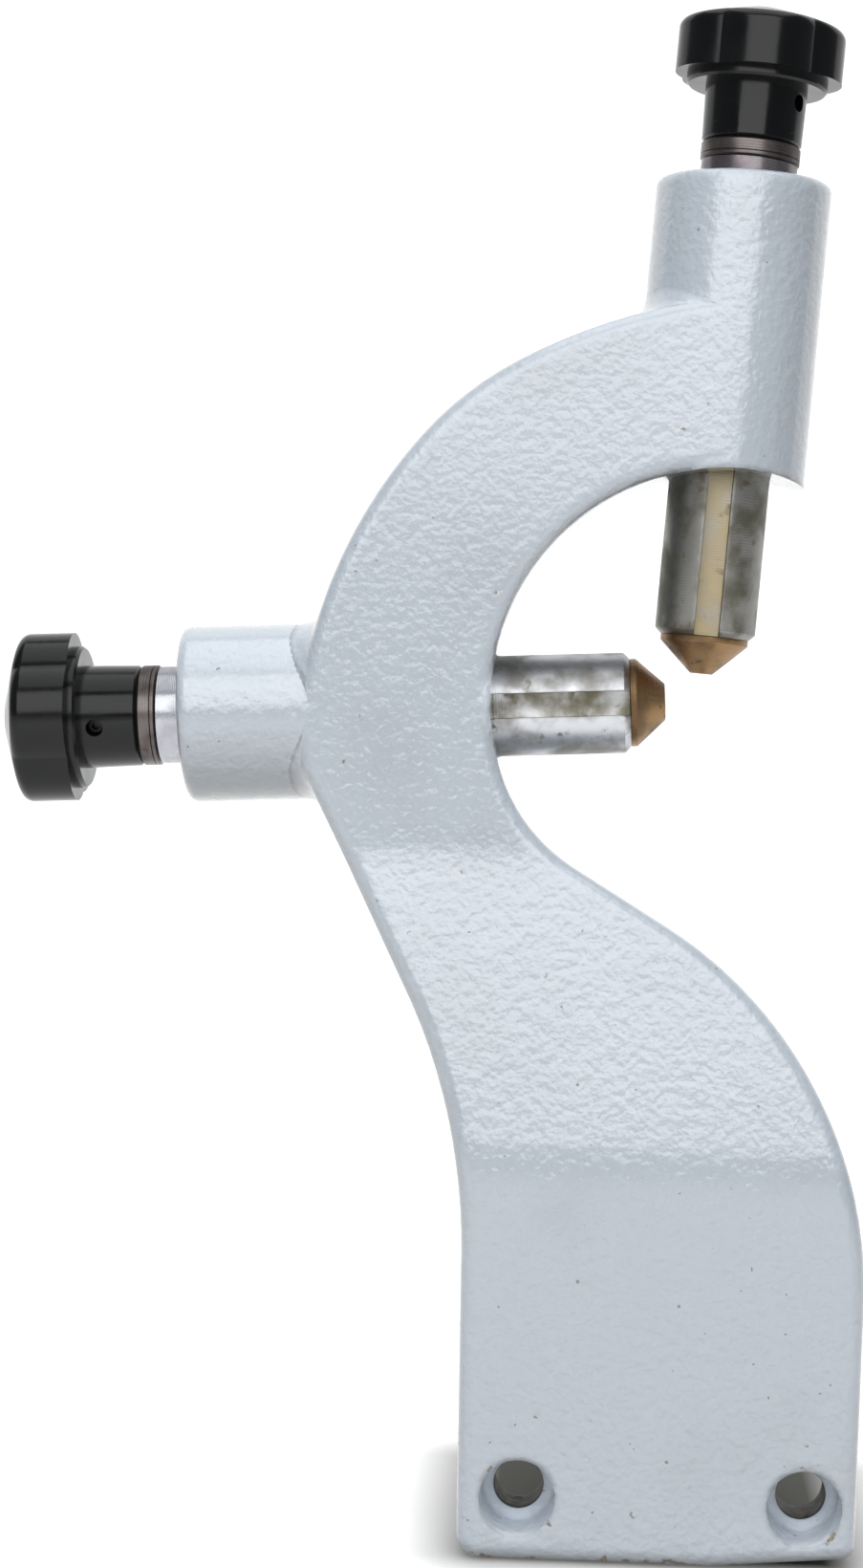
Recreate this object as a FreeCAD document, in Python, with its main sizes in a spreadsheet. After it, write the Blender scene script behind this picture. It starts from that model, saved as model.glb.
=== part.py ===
import FreeCAD, Part
import Sketcher
import math
import os

# Lathe follow rest. X right, Z up, Y away from the viewer. The origin is the middle
# between the two foot bolts, on the machined mounting face. Sizes in millimetres.

# where the work spindle runs, and how the two jaws point at it
SPINDLE = {
    "work_x": 2.5, "work_height": 190.0, "jaw_plane": 11.5,
    "rear_rise": 3.8, "top_lean": 3.15, "rear_shift": -0.6, "top_shift": 0.0,
}
# bolted foot of the casting
FOOT = {
    "foot_left": 48.0, "foot_flare": 1.7, "foot_right": 46.5, "foot_drop": 15.0,
    "heel_x": 12.0, "heel_rise": 3.0,
    "foot_thick": 24.0, "bolt_spacing": 68.0, "bolt_hole": 12.0, "head_bore": 18.0,
    "head_depth": 13.0, "corner_round": 5.0, "toe_round": 3.0,
}
# outline of the arm seen from the front, its places measured from the work spindle
ARM = {
    "belly_round": 100.0, "neck_slope": 30.0, "neck_round": 42.0, "neck_bite": 3.53,
    "throat_right": 5.8, "throat_drop": 0.2, "throat_round": 56.8,
    "crown_left": 6.8, "crown_rise": 9.4, "crown_round": 82.2, "crown_break": 70.0,
    "crest_turn": 120.0, "crest_round": 143.0,
    "shoulder_round": 120.2, "shoulder_drop": 10.0,
    "flank_top_drop": 20.0, "flank_slope": 62.0, "flank_round": 134.0, "flank_drop": 133.0,
}
# side profile: the arm is cranked back behind the foot; the drops are below the spindle
CRANK = {
    "arm_proud": 0.05, "arm_rear": 24.0, "front_low_drop": 112.0, "front_high_drop": 38.0,
    "rear_low_drop": 128.0, "rear_high_drop": 40.0, "arm_top_rise": 110.0, "bend_round": 60.0,
    "front_edge": 3.5, "rear_edge": 2.5,
}
# jaw bosses and what is bored in them, measured from the work spindle
BOSS = {
    "boss_size": 43.7, "boss_root": 40.0, "boss_rim": 2.2,
    "rear_end": 127.7, "rear_tilt": 1.0, "rear_across": 0.0,
    "top_end": 129.35, "top_tilt": 2.5, "top_across": -0.75,
    "bore_end": 119.5, "wall_hole": 14.0, "slide_gap": 0.05, "bush_seat": 127.5, "seat_gap": 0.2,
}
# jaws: quill, bronze tip, key and key screw
QUILL = {
    "quill_size": 25.0, "quill_back": 83.0, "nose_run": 1.5, "nose_size": 21.9,
    "back_chamfer": 0.8, "rear_nose": 17.5, "top_nose": 15.9,
    "keyway_width": 6.1, "keyway_floor": 9.3, "nut_size": 12.1, "nut_start": 12.5,
    "tip_size": 21.8, "tip_land": 1.5, "spigot_size": 12.0, "spigot_long": 10.0,
    "rear_cone": 7.1, "rear_flat": 9.0, "top_cone": 7.6, "top_flat": 5.6,
    "key_width": 6.0, "key_start": 60.0, "key_long": 18.0, "key_inner": 9.45, "key_outer": 15.05,
    "key_screw": 2.5, "key_head": 4.7, "key_head_deep": 1.3, "key_sink": 0.1, "key_bury": 3.5,
    "key_drive": 1.5, "key_drive_deep": 0.9,
}
# feed screw, thrust washer, end bush, collar
SCREW = {
    "feed_size": 12.0, "feed_start": 60.0, "feed_chamfer": 1.0,
    "shoulder_size": 20.0, "shoulder_start": 114.0, "shoulder_end_u": 118.0,
    "journal_size": 10.0, "journal_end": 158.0, "journal_chamfer": 0.6,
    "thrust_gap": 0.05, "washer_size": 22.0, "washer_hole": 10.5,
    "journal_gap": 0.05, "bush_face": 134.0, "bush_size": 24.0, "bush_chamfer": 1.3,
    "collar_gap": 0.08, "collar_end": 139.0, "collar_size": 24.8, "collar_chamfer": 0.5,
}
# black knob, its steel insert and the grub screw
KNOB = {
    "neck_size": 24.9, "neck_swell": 0.3, "neck_end": 152.8, "flange_size": 35.2, "flange_end": 155.0,
    "flange_chamfer": 0.6, "lobe_size": 42.3, "lobe_round": 14.0, "lobe_end": 167.8,
    "rim_round": 2.8, "crown_flat": 12.0, "crown_top": 172.2, "lobe_count": 5.0,
    "flute_blend": 1.5,
    "insert_size": 16.0, "insert_end": 161.0,
    "grub_size": 4.0, "grub_run": 10.0, "grub_sink": 2.25, "dimple_deep": 0.4, "grub_clear": 0.2,
    "grub_drive": 2.0, "grub_drive_deep": 2.0, "rear_grub_turn": 102.8, "top_grub_turn": 33.0,
    "rear_knob_turn": -13.0, "top_knob_turn": -13.5,
}

doc = FreeCAD.newDocument("follow_rest")
sheet = doc.addObject("Spreadsheet::Sheet", "dims")
VALUES = {}
for group in (SPINDLE, FOOT, ARM, CRANK, BOSS, QUILL, SCREW, KNOB):
    VALUES.update(group)
for row, (alias, number) in enumerate(VALUES.items(), start=1):
    sheet.set("A%d" % row, alias)
    sheet.set("B%d" % row, str(number))
    sheet.setAlias("B%d" % row, alias)
doc.recompute()


# A size is a number together with the sheet expression that gives it.
class Size:
    def __init__(self, number, text):
        self.number = number
        self.text = text

    def join(self, other, sign, number):
        return Size(number, "(%s %s %s)" % (self.text, sign, other.text))

    def __add__(self, other):
        other = size(other)
        return self.join(other, "+", self.number + other.number)

    def __sub__(self, other):
        other = size(other)
        return self.join(other, "-", self.number - other.number)

    def __mul__(self, other):
        other = size(other)
        return self.join(other, "*", self.number * other.number)

    def __neg__(self):
        return Size(-self.number, "(0 - %s)" % self.text)


def size(value):
    if isinstance(value, Size):
        return value
    return Size(float(value), str(value))


def dim(alias):
    return Size(float(sheet.get(alias)), "dims.%s" % alias)


ORIGIN = (-1, 1)
H_AXIS, V_AXIS = range(-1, -3, -1)
START, END, CENTRE = range(1, 4)
Y_AXIS = FreeCAD.Vector(0, 1, 0)
Z_AXIS = FreeCAD.Vector(0, 0, 1)


def plane(body, role):
    for feature in body.Origin.OriginFeatures:
        if feature.Role == role:
            return feature
    raise RuntimeError("no " + role)


def new_sketch(body, name, role):
    sketch = body.newObject("Sketcher::SketchObject", name)
    sketch.AttachmentSupport = [(plane(body, role), "")]
    sketch.MapMode = "FlatFace"
    return sketch


def bind(sketch, kind, value, *where):
    index = sketch.addConstraint(Sketcher.Constraint(kind, *where, value.number))
    sketch.setExpression("Constraints[%d]" % index, value.text)


def place_point(sketch, geo, pos, across, up):
    # a point on an axis lies on it, any other is bound to its two distances
    if abs(across.number) < 1e-9:
        sketch.addConstraint(Sketcher.Constraint("PointOnObject", geo, pos, V_AXIS))
    else:
        bind(sketch, "DistanceX", across, ORIGIN[0], ORIGIN[1], geo, pos)
    if abs(up.number) < 1e-9:
        sketch.addConstraint(Sketcher.Constraint("PointOnObject", geo, pos, H_AXIS))
    else:
        bind(sketch, "DistanceY", up, ORIGIN[0], ORIGIN[1], geo, pos)


def polygon(sketch, points):
    points = [(size(across), size(up)) for across, up in points]
    count = len(points)
    corners = [FreeCAD.Vector(across.number, up.number, 0) for across, up in points]
    first = sketch.GeometryCount
    for i in range(count):
        sketch.addGeometry(Part.LineSegment(corners[i], corners[(i + 1) % count]), False)
    for i in range(count):
        following = first + (i + 1) % count
        sketch.addConstraint(Sketcher.Constraint("Coincident", first + i, END, following, START))
    for i in range(count):
        place_point(sketch, first + i, START, points[i][0], points[i][1])


def new_body(name):
    return doc.addObject("PartDesign::Body", name)


def revolve(body, name, points):
    # points are (radius, distance along the axis)
    sketch = new_sketch(body, name + "_profile", "XZ_Plane")
    polygon(sketch, points)
    turned = body.newObject("PartDesign::Revolution", name)
    turned.Profile = sketch
    turned.ReferenceAxis = (sketch, ["V_Axis"])
    turned.Angle = 360
    return turned


def lay_out(feature, kind, sketch, length, reverse=False):
    feature.Profile = sketch
    feature.SideType = kind
    feature.Reversed = reverse
    feature.setExpression("Length", length.text)


def edges_where(shape, wanted):
    return [i for i, edge in enumerate(shape.Edges, start=1) if wanted(edge)]


def span(edge):
    box = edge.BoundBox
    return box.XMin, box.XMax, box.YMin, box.YMax, box.ZMin, box.ZMax


# JAW FRAME: local Z runs along a jaw from the work spindle outwards, local Y is the
# object's Y, so the front is at local -Y.
JAWS = {
    "rear": {"turn": -(dim("rear_rise") + 90)},
    "top": {"turn": dim("top_lean")},
}


def put_on_jaw(item, jaw, across=None):
    # each jaw's zero lies on its axis, shifted a little along it from the spindle
    turn = JAWS[jaw]["turn"]
    along = dim(jaw + "_shift")
    aside = across if across else size(0)
    sine = math.sin(math.radians(turn.number))
    cosine = math.cos(math.radians(turn.number))
    item.Placement = FreeCAD.Placement(
        FreeCAD.Vector(
            dim("work_x").number + along.number * sine + aside.number * cosine,
            dim("jaw_plane").number,
            dim("work_height").number + along.number * cosine - aside.number * sine),
        FreeCAD.Rotation(Y_AXIS, turn.number))
    turning = {"t": "(%s * 1deg)" % turn.text, "a": along.text, "s": aside.text}
    item.setExpression(
        "Placement.Base.x", "dims.work_x + %(a)s * sin(%(t)s) + %(s)s * cos(%(t)s)" % turning)
    item.setExpression("Placement.Base.y", "dims.jaw_plane")
    item.setExpression(
        "Placement.Base.z", "dims.work_height + %(a)s * cos(%(t)s) - %(s)s * sin(%(t)s)" % turning)
    item.setExpression("Placement.Rotation.Angle", turn.text)


def is_hollow(shape, edge):
    # a point just outside an inward corner's edge is still clear of the solid
    middle = edge.valueAt((edge.FirstParameter + edge.LastParameter) / 2)
    away = FreeCAD.Vector(middle.x, middle.y, 0)
    return away.Length > 1 and not shape.isInside(middle + away.normalize() * 0.01, 0.001, True)


def radial_pin(name, width, inner, outer, along, turn):
    # cylinder across the jaw axis; its turn is measured from local +X towards the front
    pin = doc.addObject("Part::Cylinder", name)
    pin.setExpression("Radius", (width * 0.5).text)
    pin.setExpression("Height", (outer - inner).text)
    angle = math.radians(turn.number)
    out = FreeCAD.Vector(math.cos(angle), -math.sin(angle), 0)
    rotation = FreeCAD.Rotation(Z_AXIS, out)
    pin.Placement = FreeCAD.Placement(out * inner.number, rotation)
    pin.setExpression("Placement.Base.x", "cos(%s * 1deg) * %s" % (turn.text, inner.text))
    pin.setExpression("Placement.Base.y", "0 - sin(%s * 1deg) * %s" % (turn.text, inner.text))
    pin.setExpression("Placement.Base.z", along.text)
    return pin


def cut(name, base, tools):
    item = doc.addObject("Part::Cut", name)
    item.Base = base
    if len(tools) == 1:
        item.Tool = tools[0]
    else:
        joined = doc.addObject("Part::MultiFuse", name + "_tools")
        joined.Shapes = tools
        item.Tool = joined
    return item


SUBPARTS = []
# a pocket that takes less than this, in cubic millimetres, has missed its body
LEAST_CUT = 1.0


def sub_part(item, label):
    item.Label = label
    SUBPARTS.append(item)


# CASTING, arm and foot: the front outline and the cranked side profile share a solid.
def arm_outline():
    body = new_body("outline_body")
    sketch = new_sketch(body, "front_outline", "XZ_Plane")
    left = -dim("foot_left")
    right = dim("foot_right")
    low = -dim("foot_drop")
    heel = (dim("heel_x"), low)
    toe = (right, low + dim("heel_rise"))
    slope = math.radians(dim("neck_slope").number)
    flank = math.radians(dim("flank_slope").number)
    top_turn = math.radians(dim("top_lean").number)
    throat_x = dim("work_x") + dim("throat_right")
    throat_z = dim("work_height") - dim("throat_drop")
    crown_x = dim("work_x") - dim("crown_left")
    crown_z = dim("work_height") + dim("crown_rise")

    def arc(cx, cz, radius, start, end):
        circle = Part.Circle(FreeCAD.Vector(cx, cz, 0), Z_AXIS, radius)
        return Part.ArcOfCircle(circle, math.radians(start), math.radians(end))

    def line(x1, z1, x2, z2):
        return Part.LineSegment(FreeCAD.Vector(x1, z1, 0), FreeCAD.Vector(x2, z2, 0))

    belly = dim("belly_round").number
    belly_x = right.number - belly
    throat = (throat_x.number, throat_z.number, dim("throat_round").number)
    neck = dim("neck_round").number
    crown = (crown_x.number, crown_z.number, dim("crown_round").number)
    shoulder = dim("shoulder_round").number
    flank_r = dim("flank_round").number
    low_flank = dim("work_height") - dim("flank_drop")
    flank_z = low_flank.number
    # the neck line passes a little inside the throat's circle, and the belly arc touches it
    line_gap = dim("throat_round") - dim("neck_bite")
    throat_across = math.sin(slope) * throat[0] + math.cos(slope) * throat[1]
    across = throat_across - line_gap.number
    belly_z = (across - belly - math.sin(slope) * belly_x) / math.cos(slope)
    # the neck arc touches the neck line and the throat arc from inside
    swing = math.acos((line_gap.number - neck) / (throat[2] - neck))
    neck_start = 270 - dim("neck_slope").number - math.degrees(swing)
    reach = throat[2] - neck
    neck_x = throat[0] + reach * math.cos(math.radians(neck_start))
    neck_z = throat[1] + reach * math.sin(math.radians(neck_start))
    neck_end = 270 - dim("neck_slope").number
    neck_foot = (neck_x - neck * math.sin(slope), neck_z - neck * math.cos(slope))
    belly_top = (belly_x + belly * math.sin(slope), belly_z + belly * math.cos(slope))
    # both ends of the plate in the top boss lie on the jaw's axis
    axis_low = dim("work_x") + dim("throat_round") * math.sin(top_turn)
    axis_high = dim("work_x") + dim("crown_round") * (1.1 * math.sin(top_turn))
    low_turn = math.degrees(math.acos((axis_low.number - throat[0]) / throat[2]))
    crest_turn = math.radians(dim("crest_turn").number)
    crest_r = dim("crest_round").number
    crest_x = crown[0] + (crown[2] - crest_r) * math.cos(crest_turn)
    crest_z = crown[1] + (crown[2] - crest_r) * math.sin(crest_turn)
    high_turn = math.degrees(math.acos((axis_high.number - crest_x) / crest_r))
    break_x = dim("work_x") - dim("crown_break")
    break_turn = math.acos((break_x.number - crown[0]) / crown[2])
    shoulder_x = crown[0] + (crown[2] - shoulder) * math.cos(break_turn)
    shoulder_z = crown[1] + (crown[2] - shoulder) * math.sin(break_turn)
    end_z = dim("work_height") - dim("shoulder_drop")
    end_turn = 180 - math.degrees(math.asin((end_z.number - shoulder_z) / shoulder))
    flared = left - dim("foot_flare")
    flare_turn = math.atan2(dim("foot_flare").number, flank_z - low.number)
    flank_x = flared.number - flank_r * math.cos(flare_turn)
    flank_cz = flank_z - flank_r * math.sin(flare_turn)
    flank_turn = 90 - dim("flank_slope").number
    bend = (flank_x + flank_r * math.sin(flank), flank_cz + flank_r * math.cos(flank))
    top_z = dim("work_height") - dim("flank_top_drop")
    top_x = bend[0] - (top_z.number - bend[1]) / math.tan(flank)
    shoulder_foot = shoulder_x + shoulder * math.cos(math.radians(end_turn))
    low_z = throat[1] + throat[2] * math.sin(math.radians(low_turn))
    high_z = crest_z + crest_r * math.sin(math.radians(high_turn))
    pieces = [
        line(left.number, low.number, heel[0].number, low.number),
        line(heel[0].number, low.number, toe[0].number, toe[1].number),
        line(toe[0].number, toe[1].number, right.number, belly_z),
        arc(belly_x, belly_z, belly, 0, 90 - dim("neck_slope").number),
        line(belly_top[0], belly_top[1], neck_foot[0], neck_foot[1]),
        arc(neck_x, neck_z, neck, neck_start, neck_end),
        arc(throat[0], throat[1], throat[2], low_turn, neck_start),
        line(axis_low.number, low_z, axis_high.number, high_z),
        arc(crest_x, crest_z, crest_r, high_turn, math.degrees(crest_turn)),
        arc(crown[0], crown[1], crown[2], math.degrees(crest_turn), math.degrees(break_turn)),
        arc(shoulder_x, shoulder_z, shoulder, math.degrees(break_turn), end_turn),
        line(shoulder_foot, end_z.number, top_x, top_z.number),
        line(top_x, top_z.number, bend[0], bend[1]),
        arc(flank_x, flank_cz, flank_r, math.degrees(flare_turn), flank_turn),
        line(flared.number, flank_z, left.number, low.number),
    ]
    for piece in pieces:
        sketch.addGeometry(piece, False)
    foot, sole, side, belly_arc, neck_line, neck_arc, throat_arc, cap = range(8)
    crest_arc, crown_arc, shoulder_arc, root, flank_line, flank_arc, back = range(8, 15)
    # (piece, its end) meets (piece, its end); True where they run on without a corner
    meetings = [
        (foot, END, sole, START, False), (sole, END, side, START, False),
        (side, END, belly_arc, START, True), (belly_arc, END, neck_line, START, True),
        (neck_line, END, neck_arc, END, True), (neck_arc, START, throat_arc, END, True),
        (throat_arc, START, cap, START, False), (cap, END, crest_arc, START, False),
        (crest_arc, END, crown_arc, START, True),
        (crown_arc, END, shoulder_arc, START, True), (shoulder_arc, END, root, START, False),
        (root, END, flank_line, START, False), (flank_line, END, flank_arc, END, True),
        (flank_arc, START, back, START, True), (back, END, foot, START, False),
    ]
    for one, one_end, other, other_end, smooth in meetings:
        kind = "Tangent" if smooth else "Coincident"
        sketch.addConstraint(Sketcher.Constraint(kind, one, one_end, other, other_end))
    place_point(sketch, foot, START, left, low)
    place_point(sketch, foot, END, heel[0], low)
    place_point(sketch, sole, END, toe[0], toe[1])
    sketch.addConstraint(Sketcher.Constraint("Vertical", side))
    bind(sketch, "Radius", dim("belly_round"), belly_arc)
    bind(sketch, "Radius", dim("neck_round"), neck_arc)
    place_point(sketch, throat_arc, CENTRE, throat_x, throat_z)
    bind(sketch, "Radius", dim("throat_round"), throat_arc)
    bind(sketch, "Distance", line_gap, throat_arc, CENTRE, neck_line)
    bind(sketch, "DistanceX", axis_low, ORIGIN[0], ORIGIN[1], cap, START)
    bind(sketch, "DistanceX", axis_high, ORIGIN[0], ORIGIN[1], cap, END)
    place_point(sketch, crown_arc, CENTRE, crown_x, crown_z)
    bind(sketch, "Radius", dim("crown_round"), crown_arc)
    bind(sketch, "Radius", dim("crest_round"), crest_arc)
    crest_place = Size(
        crown[0] + crown[2] * math.cos(crest_turn),
        "(%s + dims.crown_round * cos(dims.crest_turn * 1deg))" % crown_x.text)
    bind(sketch, "DistanceX", crest_place, ORIGIN[0], ORIGIN[1], crown_arc, START)
    bind(sketch, "DistanceX", break_x, ORIGIN[0], ORIGIN[1], crown_arc, END)
    bind(sketch, "Radius", dim("shoulder_round"), shoulder_arc)
    bind(sketch, "DistanceY", end_z, ORIGIN[0], ORIGIN[1], shoulder_arc, END)
    bind(sketch, "DistanceY", top_z, ORIGIN[0], ORIGIN[1], flank_line, START)
    bind(sketch, "Radius", dim("flank_round"), flank_arc)
    place_point(sketch, back, START, flared, low_flank)
    # slopes of the neck and of the flank, as angles of their lines
    neck_angle = Size(math.pi - slope, "(180 - dims.neck_slope) * 1deg")
    bind(sketch, "Angle", neck_angle, neck_line)
    flank_angle = Size(-flank, "(0 - dims.flank_slope) * 1deg")
    bind(sketch, "Angle", flank_angle, flank_line)
    return body, sketch


outline_body, outline_sketch = arm_outline()
outline_pad = outline_body.newObject("PartDesign::Pad", "outline_pad")
lay_out(outline_pad, "Symmetric", outline_sketch, (dim("foot_thick") + dim("arm_rear")) * 2.0)
doc.recompute()


def foot_corner(name, base, side, alias):
    # rounds the upright edge at one end of the foot's sole
    def is_corner(edge):
        x1, x2, y1, y2, z1, z2 = span(edge)
        return y2 - y1 > 10 and abs(x1 - side.number) < 0.01 and z2 < 0

    corner = outline_body.newObject("PartDesign::Fillet", name)
    corner.Base = (base, ["Edge%d" % i for i in edges_where(base.Shape, is_corner)])
    corner.setExpression("Radius", "dims." + alias)
    outline_body.Tip = corner
    doc.recompute()
    return corner


heel_corner = foot_corner("heel_corner", outline_pad, -dim("foot_left"), "corner_round")
foot_corner("toe_corner", heel_corner, dim("foot_right"), "toe_round")

arm_top = dim("work_height") + dim("arm_top_rise")
rear_low = dim("work_height") - dim("rear_low_drop")
rear_high = dim("work_height") - dim("rear_high_drop")
front_low = dim("work_height") - dim("front_low_drop")
front_high = dim("work_height") - dim("front_high_drop")
# the arm's front face stands only just proud of the bosses, so that they run into it
arm_front = dim("boss_size") * 0.5 - dim("jaw_plane") + dim("arm_proud")
profile_body = new_body("crank_body")
profile_sketch = new_sketch(profile_body, "side_profile", "YZ_Plane")
polygon(profile_sketch, [
    (-dim("foot_thick"), -dim("foot_drop") * 2.0),
    (0, -dim("foot_drop") * 2.0),
    (0, rear_low),
    (dim("arm_rear"), rear_high),
    (dim("arm_rear"), arm_top),
    (-arm_front, arm_top),
    (-arm_front, front_high),
    (-dim("foot_thick"), front_low),
])
profile_pad = profile_body.newObject("PartDesign::Pad", "crank_pad")
lay_out(profile_pad, "Symmetric", profile_sketch, dim("shoulder_round") * 2.0)
doc.recompute()


def is_bend(edge):
    x1, x2, y1, y2, z1, z2 = span(edge)
    crosswise = x2 - x1 > 10 and y2 - y1 < 0.01 and z2 - z1 < 0.01
    bends_at = (rear_low, rear_high, front_low, front_high)
    return crosswise and min(abs(z1 - height.number) for height in bends_at) < 0.01


bends = profile_body.newObject("PartDesign::Fillet", "crank_bends")
bends.Base = (profile_pad, ["Edge%d" % i for i in edges_where(profile_pad.Shape, is_bend)])
bends.setExpression("Radius", "dims.bend_round")
profile_body.Tip = bends

plate = doc.addObject("Part::MultiCommon", "arm_plate")
plate.Shapes = [outline_body, profile_body]
doc.recompute()


def on_cap(edge):
    # the end of the plate that lies on the axis of the top boss
    x1, x2, y1, y2, z1, z2 = span(edge)
    throat_top = dim("work_height").number + dim("throat_round").number / 2
    return x1 > dim("work_x").number and x2 < x1 + 3 and z1 > throat_top and z2 - z1 > 15


def rim(shape, side):
    # edges between a broad face that looks to this side and a side wall
    chosen = []
    for i, edge in enumerate(shape.Edges, start=1):
        middle = edge.valueAt((edge.FirstParameter + edge.LastParameter) / 2)
        if on_cap(edge) or (side > 0 and middle.y < 0.01):
            continue
        faces = shape.ancestorsOfType(edge, Part.Face)
        looks = [face.normalAt(*face.Surface.parameter(middle)).y * side for face in faces]
        if len(looks) == 2 and max(looks) > 0.9 and abs(min(looks)) < 0.2:
            chosen.append(i)
    return chosen


def round_rim(name, base, side, alias):
    rounded = doc.addObject("Part::Fillet", name)
    rounded.Base = base
    radius = dim(alias).number
    rounded.Edges = [(i, radius, radius) for i in rim(base.Shape, side)]
    doc.recompute()
    return rounded


front_rim = round_rim("front_rim", plate, -1, "front_edge")
rear_rim = round_rim("rear_rim", front_rim, 1, "rear_edge")

# bosses, cut back at the throat so that they end on its wall
throat_cut = doc.addObject("Part::Cylinder", "throat_cut")
throat_cut.setExpression("Radius", "dims.throat_round")
throat_cut.setExpression("Height", "dims.boss_size * 4")
throat_cut.Placement = FreeCAD.Placement(
    FreeCAD.Vector(0, 0, 0), FreeCAD.Rotation(FreeCAD.Vector(1, 0, 0), 90))
throat_cut.setExpression("Placement.Base.x", "dims.work_x + dims.throat_right")
throat_cut.setExpression("Placement.Base.y", "dims.boss_size * 2")
throat_cut.setExpression("Placement.Base.z", "dims.work_height - dims.throat_drop")

boss_parts = []
bore_tools = []
for jaw in JAWS:
    boss = new_body(jaw + "_boss")
    half = dim("boss_size") * 0.5
    face = dim(jaw + "_end")
    tilt = dim(jaw + "_tilt")
    slant = Size(half.number * math.tan(math.radians(tilt.number)),
                 "(%s * tan(%s * 1deg))" % (half.text, tilt.text))
    turned = revolve(boss, jaw + "_boss_turn", [
        (0, dim("boss_root")), (half, dim("boss_root")), (half, face + slant),
        (0, face + slant),
    ])
    # the end face is cast a little off square to the jaw
    facing = new_sketch(boss, jaw + "_facing_sketch", "XZ_Plane")
    polygon(facing, [
        (-half * 2.0, face - slant * 2.0), (half * 2.0, face + slant * 2.0),
        (half * 2.0, face + half), (-half * 2.0, face + half),
    ])
    faced = boss.newObject("PartDesign::Pocket", jaw + "_facing")
    lay_out(faced, "Symmetric", facing, half * 3.0)
    doc.recompute()

    def is_boss_rim(edge):
        return edge.BoundBox.ZMin > (face - slant).number - 0.01 and edge.Length > 10

    rounding = boss.newObject("PartDesign::Fillet", jaw + "_boss_rim")
    rounding.Base = (faced, ["Edge%d" % i for i in edges_where(faced.Shape, is_boss_rim)])
    rounding.setExpression("Radius", "dims.boss_rim")
    boss.Tip = rounding
    put_on_jaw(boss, jaw, dim(jaw + "_across"))
    boss_parts.append(cut(jaw + "_boss_cut", boss, [throat_cut]))

    bore = new_body(jaw + "_bore")
    wide = dim("quill_size") * 0.5 + dim("slide_gap")
    narrow = dim("wall_hole") * 0.5
    seat = dim("bush_size") * 0.5 + dim("seat_gap")
    above = dim("top_end") + dim("boss_rim") * 2.0
    revolve(bore, jaw + "_bore_turn", [
        (0, dim("boss_root")), (wide, dim("boss_root")), (wide, dim("bore_end")),
        (narrow, dim("bore_end")), (narrow, dim("bush_seat")), (seat, dim("bush_seat")),
        (seat, above), (0, above),
    ])
    slot = doc.addObject("Part::Box", jaw + "_key_slot")
    slot.setExpression("Length", "dims.key_width")
    slot.setExpression("Width", "dims.key_outer - dims.key_inner")
    slot.setExpression("Height", "dims.key_long")
    slot.setExpression("Placement.Base.x", "0 - dims.key_width / 2")
    slot.setExpression("Placement.Base.y", "0 - dims.key_outer")
    slot.setExpression("Placement.Base.z", "dims.key_start")
    hole = radial_pin(
        jaw + "_key_hole", dim("key_screw"), dim("key_inner"), dim("key_outer") + dim("key_bury"),
        dim("key_start") + dim("key_long") * 0.5, Size(90.0, "90"))
    tool = doc.addObject("Part::MultiFuse", jaw + "_bore_tool")
    tool.Shapes = [bore, slot, hole]
    put_on_jaw(tool, jaw)
    bore_tools.append(tool)

# two counterbored bolt holes in the foot
for side, sign in (("left", -1), ("right", 1)):
    for name, width, start, length in (
            ("bolt", "bolt_hole", "0 - dims.foot_thick - 1", "dims.foot_thick + 2"),
            ("head", "head_bore", "0 - dims.foot_thick - 1", "dims.head_depth + 1")):
        hole = doc.addObject("Part::Cylinder", "%s_%s" % (side, name))
        hole.setExpression("Radius", "dims.%s / 2" % width)
        hole.setExpression("Height", length)
        hole.Placement = FreeCAD.Placement(
            FreeCAD.Vector(0, 0, 0), FreeCAD.Rotation(FreeCAD.Vector(1, 0, 0), -90))
        hole.setExpression("Placement.Base.x", "dims.bolt_spacing / 2 * %d" % sign)
        hole.setExpression("Placement.Base.y", start)
        bore_tools.append(hole)

blank = doc.addObject("Part::MultiFuse", "casting_blank")
blank.Shapes = [rear_rim] + boss_parts
casting = cut("casting_bored", blank, bore_tools)
sub_part(casting, "casting")

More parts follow.
